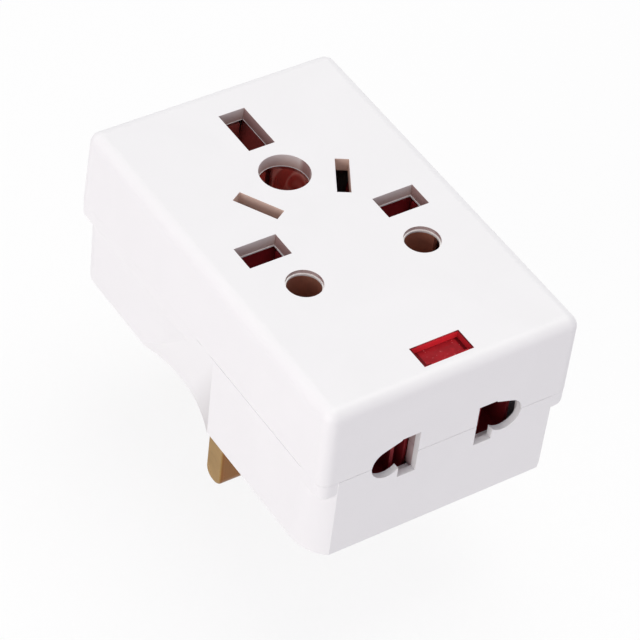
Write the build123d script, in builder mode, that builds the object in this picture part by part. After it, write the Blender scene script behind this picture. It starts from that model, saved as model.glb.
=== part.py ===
from build123d import *
import os
from math import acos, atan2, cos, hypot, radians, sin, tan

# Multi socket adapter, millimetres, +Z up.
# The origin is on the plug face, midway between the line and neutral pins.
# The plug pins point down, the universal socket looks up and the two-pin socket looks along -Y.

# Plug pins, and the slots of the socket that takes the same pins
pin_pitch = 22.2
pin_width = 6.35
pin_thickness = 3.97
pin_reach = 17.7
earth_width = 7.95
earth_reach = 22.7
pin_edge = 0.4
slot_play = 0.24
socket_setback = 1.9

# Round holes of the socket, placed from its slot line
round_hole = 5.25
round_pitch = 18.86
round_drop = 7.82
earth_round_hole = 7.4
earth_round_rise = 12.12
round_lip = 0.9

# Angled slots for flat blades, placed from the slot line
blade_slot_length = 6.9
blade_slot_width = 2.0
blade_pitch = 13.7
blade_rise = 7.97
blade_angle = 30.0
blade_thickness = 1.6

# Two-pin socket in the front end, centred on the joint between the shells
end_round_hole = 5.2
end_round_pitch = 18.8
end_slot_width = 2.9
end_slot_height = 7.2
end_slot_pitch = 12.3
end_slot_notch = 0.2
end_blade_thickness = 1.5
end_pin_diameter = 4.0
end_wall = 1.0
end_pocket_margin = 0.6

# Housing
side_cover = 5.725
back_cover = 4.925
front_reach = 32.4
upper_height = 13.2
base_height = 14.4
wall = 2.0
top_wall = 2.1
floor = 2.2
back_draft = 5.0
base_draft = 0.3
base_step = 0.85
base_step_run = 10.0
corner_radius = 1.7
cavity_corner = 0.8
top_round = 1.8
joint_chamfer = 0.1
base_front_corner = 6.5
base_corner_cut = 1.1
base_back_corner = 3.6
plug_face_round = 0.4
rim_depth = 3.3
rim_round = 1.5
rim_inset = 0.05
tongue_height = 1.6
tongue_play = 0.1
scoop_radius = 19.5
scoop_depth = 2.15
scoop_height = 13.2
scoop_shift = 3.4
scoop_front = 5.6
scoop_front_round = 3.0
scoop_sweep = 8.0

# Screws and their bosses
screw_diameter = 2.9
screw_head = 5.2
screw_length = 20.0
screw_tip = 1.6
screw_head_angle = 90.0
screw_drive = 2.6
screw_drive_width = 0.55
screw_drive_depth = 0.9
boss_diameter = 5.2
boss_end_setback = 5.0

# Contacts and strips
contact_sheet = 0.6
bus_sheet = 0.8
bend_radius = 0.8
preload = 0.5
mouth_flare = 0.5
mouth_depth = 5.0
tip_gap = 0.7
part_play = 0.1
contact_gap = 0.6
foot_room = 0.1
clip_side_gap = 0.6
bus_edge = 0.3
strip_width = 6.0
rivet_diameter = 1.4
rivet_head = 2.2
rivet_head_height = 0.5
rivet_shift = 0.9
spigot_diameter = 2.4
rib_thickness = 1.4
peg_diameter = 2.0
peg_head = 0.6
sleeve_slit = 1.2

# Cartridge fuse
fuse_diameter = 6.35
fuse_length = 25.4
fuse_cap_length = 6.0
fuse_cap_sheet = 0.4
fuse_clip_sheet = 0.5
fuse_clip_width = 5.0
fuse_clip_wrap = 250.0

# Indicator
lens_length = 7.82
lens_width = 3.74
lens_gap = 0.33
lens_wall = 0.2
lens_recess = 1.0
lens_flange = 0.8
lens_flange_height = 0.7
lamp_diameter = 4.2
lamp_overhang = 0.5
lamp_drop = 0.2
lamp_dome = 1.6
cradle_thickness = 1.0
cradle_grip = 1.0
resistor_diameter = 2.3
resistor_length = 6.3
resistor_round = 0.45
lead_diameter = 0.6
lead_bend = 0.7
lead_reach = 2.1

# Places worked out from the sizes above
half_width = pin_pitch / 2 + pin_width / 2 + side_cover
back_reach = pin_pitch + earth_width / 2 + back_cover
length = front_reach + back_reach
middle = (back_reach - front_reach) / 2
top = base_height + upper_height
top_back = back_reach - upper_height * tan(radians(back_draft))
ceiling = top - top_wall
pin_x = pin_pitch / 2
socket_y = -socket_setback
earth_slot_y = socket_y + pin_pitch
round_x = round_pitch / 2
round_y = socket_y - round_drop
earth_round_y = socket_y + earth_round_rise
blade_x = blade_pitch / 2
blade_y = socket_y + blade_rise
lens_y = wall + lens_gap + lens_width / 2 - front_reach
bus_bottom = top - pin_reach - tip_gap - rivet_head_height - contact_sheet - bus_sheet
bus_top = bus_bottom + bus_sheet
bus_inner = blade_x - rivet_head / 2 - bus_edge
bus_outer = pin_x + spigot_diameter / 2 + bus_edge
bus_front = -front_reach + wall + boss_end_setback / 2
bus_back = blade_y + blade_slot_length / 2
strip_top = floor + bus_sheet
clip_top = ceiling - contact_gap
boss_x = bus_outer + contact_gap + boss_diameter / 2
boss_front = -front_reach + wall + boss_end_setback
boss_back = back_reach - wall - boss_end_setback
screw_spots = [(x, y) for x in (-boss_x, boss_x) for y in (boss_front, boss_back)]
sleeve_radius = round_hole / 2
earth_sleeve_radius = earth_round_hole / 2
fuse_z = strip_top + fuse_clip_sheet + part_play + fuse_diameter / 2
fuse_back = strip_width / 2
fuse_front = fuse_back - fuse_length
link_y = fuse_front + fuse_cap_length / 2
peg_x = bus_outer - bus_edge - peg_diameter / 2
rib_front = bus_front + rib_thickness
rib_back = bus_back - rib_thickness
lens_bottom = ceiling - lens_flange_height
cradle_x = lens_length / 2 + lens_flange + part_play + cradle_thickness / 2
lamp_half = cradle_x + cradle_thickness / 2 + lamp_overhang
lamp_y = -front_reach + wall + contact_gap + lamp_diameter / 2
lamp_z = lens_bottom - lamp_drop - lamp_diameter / 2
end_clip_top = base_height + end_slot_height / 2
end_clip_front = -front_reach + wall + contact_gap
end_clip_back = round_y - sleeve_radius - contact_sheet - 2 * contact_gap
end_pocket_width = end_round_pitch + end_round_hole + 2 * end_pocket_margin
box_room = 2 * (contact_sheet + part_play)
screw_head_height = (screw_head - screw_diameter) / 2 / tan(radians(screw_head_angle / 2))
sides = {"line": 1, "neutral": -1}

os.makedirs("parts", exist_ok=True)


def save(piece, name):
    """Label a finished piece and write it to its own file."""
    piece.part.label = name
    export_step(piece.part, f"parts/{name}.step")


def base_outline(height, inset):
    """Sketch the base: front arcs that the flat end cuts off, and sides that step in past the scoops."""
    wide = half_width - inset
    narrow = wide - base_step
    with BuildSketch(Plane.XY.offset(height)) as outline:
        with BuildLine():
            Polyline(
                (-wide, -front_reach - base_corner_cut + inset),
                (wide, -front_reach - base_corner_cut + inset),
                (wide, scoop_shift - base_step_run / 2),
                (narrow, scoop_shift + base_step_run / 2),
                (narrow, back_reach - inset),
                (-narrow, back_reach - inset),
                (-narrow, scoop_shift + base_step_run / 2),
                (-wide, scoop_shift - base_step_run / 2),
                close=True,
            )
        make_face()
        fillet(outline.vertices().group_by(Axis.Y)[0], radius=base_front_corner - inset)
        fillet(outline.vertices().group_by(Axis.Y)[-1], radius=base_back_corner - inset)
        with Locations((0, middle)):
            Rectangle(2 * wide, length - 2 * inset, mode=Mode.INTERSECT)
    return outline.sketch


def joint_outline(inset):
    """Sketch the outline of the joint between the shells, drawn in from the outside."""
    with BuildSketch(Plane.XY.offset(base_height)) as outline:
        with Locations((0, middle)):
            RectangleRounded(2 * (half_width - inset), length - 2 * inset, corner_radius - inset)
    return outline.sketch


def upper_profile(inset, roof):
    """Sketch the upper shell from the side: upright front, flat roof and drafted back."""
    with BuildSketch(Plane.YZ) as profile:
        with BuildLine():
            Polyline(
                (-front_reach + inset, base_height),
                (-front_reach + inset, roof),
                (top_back - inset, roof),
                (back_reach - inset, base_height),
                close=True,
            )
        make_face()
    return profile.sketch


def end_apertures():
    """Sketch the front apertures: a round pin hole that runs up along a tangent into a blade slot."""
    run = (end_round_pitch - end_slot_pitch - end_slot_width) / 2
    rise = end_slot_height / 2 - end_slot_notch
    touch = atan2(rise, run) + acos(end_round_hole / 2 / hypot(run, rise))
    with BuildSketch(Plane.XZ.offset(front_reach)) as apertures:
        for side in sides.values():
            with Locations((side * end_round_pitch / 2, base_height)):
                Circle(end_round_hole / 2)
                Polygon(
                    (0, 0),
                    (-side * end_round_hole / 2 * cos(touch), end_round_hole / 2 * sin(touch)),
                    (-side * run, rise),
                    (-side * run, 0),
                    align=None,
                )
            with Locations((side * end_slot_pitch / 2, base_height)):
                Rectangle(end_slot_width, end_slot_height)
    return apertures.sketch


def end_pocket():
    """Sketch the part of the front wall that is thinned from inside, round both apertures."""
    with BuildSketch(Plane.XZ.offset(front_reach - end_wall)) as pocket:
        with Locations((0, base_height)):
            Rectangle(end_pocket_width, end_slot_height + 2 * end_pocket_margin)
    return pocket.sketch


def upright(edge):
    """Tell whether an edge stands nearer to upright than to level."""
    rise = edge @ 1 - edge @ 0
    return abs(rise.Z) > Vector(rise.X, rise.Y, 0).length


with BuildPart() as top_cavity:
    extrude(upper_profile(wall, ceiling), amount=half_width - wall, both=True)
    fillet(top_cavity.edges().filter_by(upright), radius=cavity_corner)

with BuildPart() as top_shell:
    extrude(upper_profile(0, top), amount=half_width, both=True)
    fillet(top_shell.edges().filter_by(upright), radius=corner_radius)
    fillet(top_shell.edges().group_by(Axis.Z)[-1], radius=top_round)
    chamfer(top_shell.edges().group_by(Axis.Z)[0], length=joint_chamfer)
    add(top_cavity.part, mode=Mode.SUBTRACT)
    # Rebate for the tongue of the base
    extrude(joint_outline(wall / 2), amount=tongue_height + tongue_play, mode=Mode.SUBTRACT)
    # Socket slots and angled slots
    with BuildSketch(Plane.XY.offset(ceiling)):
        with Locations((-pin_x, socket_y), (pin_x, socket_y)):
            Rectangle(pin_width + slot_play, pin_thickness + slot_play)
        with Locations((0, earth_slot_y)):
            Rectangle(pin_thickness + slot_play, earth_width + slot_play)
        with Locations((0, earth_round_y)):
            Circle(earth_round_hole / 2)
        with Locations((-round_x, round_y), (round_x, round_y)):
            Circle(round_hole / 2)
        for side in sides.values():
            with Locations((side * blade_x, blade_y)):
                Rectangle(blade_slot_width, blade_slot_length, rotation=-side * blade_angle)
        with Locations((0, lens_y)):
            Rectangle(lens_length, lens_width)
    extrude(amount=top_wall, mode=Mode.SUBTRACT)
    # Seats under the round holes for the tops of the sleeves
    with BuildSketch(Plane.XY.offset(ceiling)):
        with Locations((-round_x, round_y), (round_x, round_y)):
            Circle(sleeve_radius + contact_sheet + part_play)
    extrude(amount=top_wall - round_lip, mode=Mode.SUBTRACT)
    # Screw bosses
    with BuildSketch(Plane.XY.offset(base_height)):
        with Locations(*screw_spots):
            Circle(boss_diameter / 2)
    extrude(amount=ceiling - base_height)
    with BuildSketch(Plane.XY.offset(base_height)):
        with Locations(*screw_spots):
            Circle(screw_diameter / 2 + part_play / 2)
    extrude(amount=screw_length - base_height + part_play, mode=Mode.SUBTRACT)
    extrude(end_apertures(), amount=-wall, mode=Mode.SUBTRACT)
    extrude(end_pocket(), amount=end_wall - wall, mode=Mode.SUBTRACT)
    # Cradle ribs that hold the lamp under the lens
    with BuildSketch(Plane.YZ.offset(-cradle_x), Plane.YZ.offset(cradle_x)):
        with Locations((-front_reach + wall, ceiling)):
            Rectangle(
                contact_gap + lamp_diameter + cradle_thickness,
                ceiling - lamp_z + cradle_grip,
                align=(Align.MIN, Align.MAX),
            )
        with Locations((lamp_y, lamp_z)):
            Circle((lamp_diameter + part_play) / 2, mode=Mode.SUBTRACT)
            Rectangle(
                lamp_diameter + part_play,
                lamp_diameter,
                align=(Align.CENTER, Align.MAX),
                mode=Mode.SUBTRACT,
            )
    extrude(amount=cradle_thickness / 2, both=True)

save(top_shell, "top_shell")

# Finger scoops: leaning cylinders that bite deepest at the plug face and curl out to an edge in front
scoop_planes = [
    Plane(
        origin=(side * (half_width - scoop_depth + scoop_radius), scoop_shift, 0),
        z_dir=(side * scoop_depth, -scoop_sweep, scoop_height),
    )
    for side in sides.values()
]

with BuildPart() as scoop_cut:
    with BuildSketch(*scoop_planes):
        Circle(scoop_radius)
    extrude(amount=2 * base_height, both=True)
    split(bisect_by=Plane.XZ.offset(scoop_front), keep=Keep.BOTTOM)
    fillet(scoop_cut.faces().group_by(Axis.Y)[0].edges().filter_by(upright), radius=scoop_front_round)

with BuildPart() as scoop_backing:
    with BuildSketch(*scoop_planes):
        Circle(scoop_radius + wall)
    extrude(amount=2 * base_height, both=True)

with BuildPart() as base_cavity:
    extrude(base_outline(floor, wall), amount=base_height - floor)
    add(scoop_backing.part, mode=Mode.SUBTRACT)

with BuildPart() as corner_rim:
    extrude(joint_outline(rim_inset), amount=-rim_depth)
    fillet(corner_rim.edges().group_by(Axis.Z)[0], radius=rim_round)

with BuildPart() as base_shell:
    extrude(base_outline(base_height, 0), amount=-base_height, taper=base_draft)
    fillet(base_shell.edges().group_by(Axis.Z)[0], radius=plug_face_round)
    add(corner_rim.part)
    add(scoop_cut.part, mode=Mode.SUBTRACT)
    add(base_cavity.part, mode=Mode.SUBTRACT)
    # Tongue that locates the upper shell
    extrude(joint_outline(wall / 2 + tongue_play), amount=tongue_height)
    with BuildSketch(Plane.XY.offset(base_height)):
        with Locations((0, middle)):
            RectangleRounded(2 * (half_width - wall), length - 2 * wall, cavity_corner)
    extrude(amount=tongue_height, mode=Mode.SUBTRACT)
    with BuildSketch(Plane.XY.offset(base_height)):
        with Locations(*screw_spots):
            Circle(boss_diameter / 2 + part_play)
        with Locations((0, -front_reach)):
            Rectangle(end_pocket_width, wall, align=(Align.CENTER, Align.MIN))
    extrude(amount=tongue_height, mode=Mode.SUBTRACT)
    # Ribs under the line and neutral strips, each back rib with a peg through the strip
    with BuildSketch(Plane.XY.offset(floor)):
        for side in sides.values():
            for rib_y in (rib_front, rib_back):
                with Locations((side * bus_inner, rib_y)):
                    Rectangle(
                        boss_x - bus_inner,
                        rib_thickness,
                        align=(Align.MIN if side > 0 else Align.MAX, Align.CENTER),
                    )
    extrude(amount=bus_bottom - floor)
    with BuildSketch(Plane.XY.offset(bus_bottom)):
        with Locations((-peg_x, rib_back), (peg_x, rib_back)):
            Circle(peg_diameter / 2)
    extrude(amount=bus_sheet + peg_head)
    # Screw bosses, open at the plug face for sunk screw heads
    with BuildSketch(Plane.XY.offset(floor)):
        with Locations(*screw_spots):
            Circle(boss_diameter / 2)
    extrude(amount=base_height - floor)
    with Locations(Plane.XY.rotated((180, 0, 0))):
        with Locations(*[(x, -y) for x, y in screw_spots]):
            CounterSinkHole(
                radius=screw_diameter / 2 + part_play / 2,
                counter_sink_radius=screw_head / 2 + part_play / 2,
                depth=base_height,
                counter_sink_angle=screw_head_angle,
            )
    # Openings for the plug pins
    with BuildSketch():
        with Locations((-pin_x, 0), (pin_x, 0)):
            Rectangle(pin_width + part_play, pin_thickness + part_play)
        with Locations((0, pin_pitch)):
            Rectangle(pin_thickness + part_play, earth_width + part_play)
    extrude(amount=floor, mode=Mode.SUBTRACT)
    extrude(end_apertures(), amount=-wall, mode=Mode.SUBTRACT)
    extrude(end_pocket(), amount=end_wall - wall, mode=Mode.SUBTRACT)

save(base_shell, "base_shell")


def strip_piece(plane, points, width, sheet):
    """Fold a strip of sheet along points in a plane, centred on the plane and as wide as given."""
    with BuildPart() as folded:
        with BuildSketch(plane):
            with BuildLine():
                FilletPolyline(*points, radius=bend_radius)
            trace(line_width=sheet)
        extrude(amount=width / 2, both=True)
    return folded


def spring_clip(spot, seat, angle, grip, width, shift, boxed):
    """Contact on a strip: a riveted foot, two flared legs that pinch a pin, and end plates if boxed."""
    across = Vector(cos(radians(angle)), sin(radians(angle)), 0)
    plane = Plane(origin=(*spot, seat), x_dir=across, z_dir=across.cross(Vector(0, 0, 1)))
    rise = clip_top - seat
    foot = max((grip + contact_sheet) / 2, shift + rivet_head / 2 + bend_radius) + foot_room
    pinch = (grip - preload + contact_sheet) / 2
    mouth = (grip + contact_sheet) / 2 + mouth_flare
    with BuildPart() as clip:
        with BuildSketch(plane):
            with BuildLine():
                FilletPolyline(
                    (-mouth, rise),
                    (-pinch, rise - mouth_depth),
                    (-foot, contact_sheet / 2),
                    (foot, contact_sheet / 2),
                    (pinch, rise - mouth_depth),
                    (mouth, rise),
                    radius=bend_radius,
                )
            trace(line_width=contact_sheet)
        extrude(amount=width / 2, both=True)
        with BuildSketch(Plane.XY.offset(seat)):
            with Locations((spot[0], spot[1] - shift)):
                Circle(rivet_diameter / 2)
        extrude(amount=contact_sheet, mode=Mode.SUBTRACT)
        if boxed:
            with BuildSketch(Plane.XY.offset(seat)):
                with Locations(Location(spot, angle)):
                    with Locations((0, (contact_sheet - width) / 2), (0, (width - contact_sheet) / 2)):
                        Rectangle(grip - preload - 2 * part_play, contact_sheet)
            extrude(amount=rise)
    return clip


def sleeve(spot, seat, radius, crown, slit_angles):
    """Contact rolled from sheet into a slit sleeve, with its foot folded under and riveted."""
    with BuildPart() as rolled:
        with BuildSketch(Plane.XY.offset(seat)):
            with Locations(spot):
                Circle(radius + contact_sheet)
        extrude(amount=crown - seat)
        with BuildSketch(Plane.XY.offset(seat + contact_sheet)):
            with Locations(spot):
                Circle(radius)
            with Locations(*[Location(spot, angle) for angle in slit_angles]):
                Rectangle(2 * radius, sleeve_slit, align=(Align.MIN, Align.CENTER))
        extrude(amount=crown - seat, mode=Mode.SUBTRACT)
        with Locations((*spot, seat)):
            Cone(
                rivet_diameter / 2,
                rivet_head / 2,
                contact_sheet,
                align=(Align.CENTER, Align.CENTER, Align.MIN),
                mode=Mode.SUBTRACT,
            )
    return rolled


def flat_pin(spot, wide, thick, reach, shoulder, spigot_top):
    """Brass pin with a rounded tip, a square shoulder inside the housing and a round spigot."""
    with BuildPart() as pin:
        with BuildSketch(Plane.XY.offset(shoulder)):
            with Locations(spot):
                Rectangle(wide, thick)
        extrude(amount=-(shoulder + reach))
        narrow = Axis.X if wide > thick else Axis.Y
        tip = pin.faces().sort_by(Axis.Z)[0]
        fillet(tip.edges().filter_by(narrow), radius=min(wide, thick) / 2 - pin_edge / 2)
        ends = pin.edges().group_by(narrow)
        fillet([edge for edge in ends[0] + ends[-1] if (edge @ 0.5).Z < shoulder], radius=pin_edge)
        with BuildSketch(Plane.XY.offset(shoulder)):
            with Locations(spot):
                Circle(spigot_diameter / 2)
        extrude(amount=spigot_top - shoulder)
    return pin


# Plug pins: the line pin feeds the fuse strip, the neutral pin reaches up to its strip
save(flat_pin((pin_x, 0), pin_width, pin_thickness, pin_reach, floor, strip_top), "line_pin")
save(flat_pin((-pin_x, 0), pin_width, pin_thickness, pin_reach, bus_bottom, bus_top), "neutral_pin")
save(flat_pin((0, pin_pitch), pin_thickness, earth_width, earth_reach, floor, strip_top), "earth_pin")

# Contacts of the line and neutral poles
for name, side in sides.items():
    save(
        spring_clip(
            (side * pin_x, socket_y), bus_top, 90, pin_thickness, pin_width + box_room, rivet_shift, True
        ),
        f"{name}_socket_clip",
    )
    save(
        spring_clip(
            (side * blade_x, blade_y),
            bus_top,
            -side * blade_angle,
            blade_thickness,
            blade_slot_length - 2 * clip_side_gap,
            0,
            False,
        ),
        f"{name}_blade_clip",
    )
    save(
        sleeve((side * round_x, round_y), bus_top, sleeve_radius, top - round_lip, [90 - side * 90]),
        f"{name}_round_sleeve",
    )

# Earth contacts
save(
    spring_clip(
        (0, earth_slot_y), strip_top, 0, pin_thickness, earth_width + box_room, rivet_shift, True
    ),
    "earth_slot_clip",
)
save(
    sleeve((0, earth_round_y), strip_top, earth_sleeve_radius, clip_top, [-90, 90]),
    "earth_round_sleeve",
)

# End clips: a base plate with three leaves, the middle one between the blade and the round pin
leaf_inner = (end_slot_pitch - end_blade_thickness + preload - contact_sheet) / 2
leaf_middle = (end_slot_pitch + end_blade_thickness - preload + contact_sheet) / 2
leaf_outer = leaf_middle + end_pin_diameter + contact_sheet - preload / 2
end_clip_middle = (end_clip_front + end_clip_back) / 2
end_rivet_x = (leaf_middle + leaf_outer) / 2
for name, side in sides.items():
    with BuildPart() as end_clip:
        with BuildSketch(Plane.XY.offset(bus_top)):
            with Locations((side * (leaf_inner + leaf_outer) / 2, end_clip_middle)):
                Rectangle(leaf_outer - leaf_inner + contact_sheet, end_clip_back - end_clip_front)
            with Locations((side * end_rivet_x, end_clip_middle)):
                Circle(rivet_diameter / 2, mode=Mode.SUBTRACT)
        extrude(amount=contact_sheet)
        with BuildSketch(Plane.XY.offset(bus_top + contact_sheet)):
            for leaf, bow in ((leaf_inner, -mouth_flare), (leaf_outer, mouth_flare)):
                with BuildLine():
                    ThreePointArc(
                        (side * (leaf + bow), end_clip_front),
                        (side * leaf, end_clip_middle),
                        (side * (leaf + bow / 2), end_clip_back),
                    )
                trace(line_width=contact_sheet)
            with Locations((side * leaf_middle, end_clip_middle)):
                Rectangle(contact_sheet, end_clip_back - end_clip_front)
        extrude(amount=end_clip_top - bus_top - contact_sheet)
    save(end_clip, f"{name}_end_clip")

# Strips under the line and neutral contacts
for name, side in sides.items():
    with BuildPart() as bus:
        with BuildSketch(Plane.XY.offset(bus_bottom)):
            with Locations((side * (bus_inner + bus_outer) / 2, (bus_front + bus_back) / 2)):
                RectangleRounded(bus_outer - bus_inner, bus_back - bus_front, bend_radius)
            with Locations(
                (side * pin_x, socket_y - rivet_shift),
                (side * round_x, round_y),
                (side * blade_x, blade_y),
                (side * end_rivet_x, end_clip_middle),
            ):
                Circle(rivet_diameter / 2, mode=Mode.SUBTRACT)
            with Locations((side * peg_x, rib_back)):
                Circle((peg_diameter + part_play) / 2, mode=Mode.SUBTRACT)
            if name == "neutral":
                with Locations((-pin_x, 0)):
                    Circle(spigot_diameter / 2, mode=Mode.SUBTRACT)
        extrude(amount=bus_sheet)
    save(bus, f"{name}_bus")

# Earth strip, flat on the floor
with BuildPart() as earth_bus:
    earth_strip_front = earth_round_y - earth_sleeve_radius
    earth_strip_back = pin_pitch + spigot_diameter
    with BuildSketch(Plane.XY.offset(floor)):
        with Locations((0, (earth_strip_front + earth_strip_back) / 2)):
            RectangleRounded(strip_width, earth_strip_back - earth_strip_front, bend_radius)
        with Locations((0, earth_round_y), (0, earth_slot_y - rivet_shift)):
            Circle(rivet_diameter / 2, mode=Mode.SUBTRACT)
        with Locations((0, pin_pitch)):
            Circle(spigot_diameter / 2, mode=Mode.SUBTRACT)
    extrude(amount=bus_sheet)
save(earth_bus, "earth_bus")

# Strip from the line pin to the back of the fuse
with BuildPart() as line_feed:
    with BuildSketch(Plane.XY.offset(floor)):
        with Locations((-strip_width / 2, 0)):
            Rectangle(strip_width / 2 + bus_outer, strip_width, align=(Align.MIN, Align.CENTER))
        with Locations((pin_x, 0)):
            Circle(spigot_diameter / 2, mode=Mode.SUBTRACT)
    extrude(amount=bus_sheet)
save(line_feed, "line_feed")

# Folded strip from the front of the fuse up to the line bus
line_link = strip_piece(
    Plane.XZ.offset(-link_y),
    (
        (-strip_width / 2, floor + bus_sheet / 2),
        (bus_inner + bus_sheet, floor + bus_sheet / 2),
        (bus_inner + bus_sheet, bus_bottom - bus_sheet / 2),
        (bus_outer, bus_bottom - bus_sheet / 2),
    ),
    strip_width,
    bus_sheet,
)
save(line_link, "line_link")

# Cartridge fuse and its clips
with BuildPart() as fuse_body:
    with BuildSketch(Plane.XZ.offset(-(fuse_back - fuse_cap_sheet))):
        with Locations((0, fuse_z)):
            Circle(fuse_diameter / 2 - fuse_cap_sheet)
    extrude(amount=fuse_length - 2 * fuse_cap_sheet)
save(fuse_body, "fuse_body")

with BuildPart() as fuse_caps:
    with BuildSketch(Plane.XZ.offset(-fuse_back)):
        with Locations((0, fuse_z)):
            Circle(fuse_diameter / 2)
    extrude(amount=fuse_cap_length)
    with BuildSketch(Plane.XZ.offset(-fuse_front)):
        with Locations((0, fuse_z)):
            Circle(fuse_diameter / 2)
    extrude(amount=-fuse_cap_length)
    add(fuse_body.part, mode=Mode.SUBTRACT)
save(fuse_caps, "fuse_caps")

with BuildPart() as fuse_clips:
    clip_radius = fuse_diameter / 2 + part_play + fuse_clip_sheet / 2
    with BuildSketch(Plane.XZ, Plane.XZ.offset(-link_y)):
        with BuildLine():
            CenterArc((0, fuse_z), clip_radius, -90 - fuse_clip_wrap / 2, fuse_clip_wrap)
        trace(line_width=fuse_clip_sheet)
        with Locations((0, strip_top)):
            Rectangle(clip_radius, fuse_clip_sheet, align=(Align.CENTER, Align.MIN))
    extrude(amount=fuse_clip_width / 2, both=True)
save(fuse_clips, "fuse_clips")

# Rivets that hold the contacts: raised heads in the clips, sunk heads in the feet of the sleeves
raised_spots = [(0, earth_slot_y - rivet_shift, floor)]
sunk_spots = [(0, earth_round_y, floor)]
for side in sides.values():
    sunk_spots += [(side * round_x, round_y, bus_bottom)]
    raised_spots += [
        (side * pin_x, socket_y - rivet_shift, bus_bottom),
        (side * blade_x, blade_y, bus_bottom),
        (side * end_rivet_x, end_clip_middle, bus_bottom),
    ]
upward = (Align.CENTER, Align.CENTER, Align.MIN)
with BuildPart() as contact_rivets:
    with Locations(*raised_spots):
        Cylinder(rivet_diameter / 2, bus_sheet + contact_sheet, align=upward)
    with Locations(*[(x, y, z + bus_sheet + contact_sheet) for x, y, z in raised_spots]):
        Cone(rivet_head / 2, rivet_diameter / 2, rivet_head_height, align=upward)
    with Locations(*sunk_spots):
        Cylinder(rivet_diameter / 2, bus_sheet, align=upward)
    with Locations(*[(x, y, z + bus_sheet) for x, y, z in sunk_spots]):
        Cone(rivet_diameter / 2, rivet_head / 2, contact_sheet, align=upward)
save(contact_rivets, "contact_rivets")

# Case screws with cross drives, heads sunk flush with the plug face
with BuildPart() as screw:
    with BuildSketch(Plane.XZ):
        with BuildLine():
            Polyline(
                (0, 0),
                (screw_head / 2, 0),
                (screw_diameter / 2, screw_head_height),
                (screw_diameter / 2, screw_length - screw_tip),
                (0, screw_length),
                close=True,
            )
        make_face()
    revolve(axis=Axis.Z)
    with BuildSketch():
        Rectangle(screw_drive, screw_drive_width)
        Rectangle(screw_drive_width, screw_drive)
    extrude(amount=screw_drive_depth, mode=Mode.SUBTRACT)

with BuildPart() as case_screws:
    with Locations(*screw_spots):
        add(screw.part)
save(case_screws, "case_screws")

# Indicator lens: a red tray with end flanges under the roof
with BuildPart() as indicator_lens:
    with BuildSketch(Plane.XY.offset(lens_bottom)):
        with Locations((0, lens_y)):
            Rectangle(lens_length - part_play, lens_width - part_play)
    extrude(amount=top - lens_bottom)
    with BuildSketch(Plane.XY.offset(lens_bottom)):
        with Locations((0, lens_y)):
            Rectangle(lens_length + 2 * lens_flange, lens_width - part_play)
    extrude(amount=lens_flange_height)
    with BuildSketch(Plane.XY.offset(top)):
        with Locations((0, lens_y)):
            Rectangle(lens_length - part_play - 2 * lens_wall, lens_width - part_play - 2 * lens_wall)
    extrude(amount=-lens_recess, mode=Mode.SUBTRACT)
save(indicator_lens, "indicator_lens")

# Neon lamp and its resistor
with BuildPart() as neon_lamp:
    with BuildSketch(Plane.XY.offset(lamp_z)) as lamp_section:
        with Locations((0, lamp_y)):
            Rectangle(2 * lamp_half, lamp_diameter / 2, align=(Align.CENTER, Align.MIN))
        fillet(lamp_section.vertices().group_by(Axis.Y)[-1], radius=lamp_dome)
    revolve(axis=Axis((0, lamp_y, lamp_z), (1, 0, 0)))
save(neon_lamp, "neon_lamp")

resistor_x = -(lamp_half + lead_reach)
drop_y = end_clip_back - lead_bend
resistor_front = (lamp_y + drop_y - resistor_length) / 2
resistor_back = resistor_front + resistor_length
with BuildPart() as neon_resistor:
    with BuildSketch(Plane.XZ.offset(-resistor_back)):
        with Locations((resistor_x, lamp_z)):
            Circle(resistor_diameter / 2)
    extrude(amount=resistor_length)
    fillet(neon_resistor.edges(), radius=resistor_round)
save(neon_resistor, "neon_resistor")

# Lamp wires: one to the line end clip, the other through the resistor to the neutral end clip
lead_routes = [
    (
        (lamp_half, lamp_y, lamp_z),
        (lamp_half + lead_reach, lamp_y, lamp_z),
        (leaf_middle, lamp_y + 2 * lead_reach, lamp_z),
        (leaf_middle, lamp_y + 2 * lead_reach, end_clip_top),
    ),
    (
        (-lamp_half, lamp_y, lamp_z),
        (resistor_x, lamp_y, lamp_z),
        (resistor_x, resistor_front, lamp_z),
    ),
    (
        (resistor_x, resistor_back, lamp_z),
        (resistor_x, resistor_back + lead_bend, lamp_z),
        (-leaf_middle, drop_y, lamp_z),
        (-leaf_middle, drop_y, end_clip_top),
    ),
]
with BuildPart() as lamp_leads:
    for route in lead_routes:
        with BuildLine() as wire:
            FilletPolyline(*route, radius=lead_bend)
        with BuildSketch(Plane(origin=wire.line @ 0, z_dir=wire.line % 0)):
            Circle(lead_diameter / 2)
        sweep(path=wire.line)
save(lamp_leads, "lamp_leads")
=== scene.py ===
"""Multi socket adapter: finishes, trim in its apertures, the lamp under its lens, and a studio."""

from math import pi, radians

import bmesh
import bpy
from bpy.props import FloatProperty, FloatVectorProperty, PointerProperty
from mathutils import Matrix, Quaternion, Vector


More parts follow.
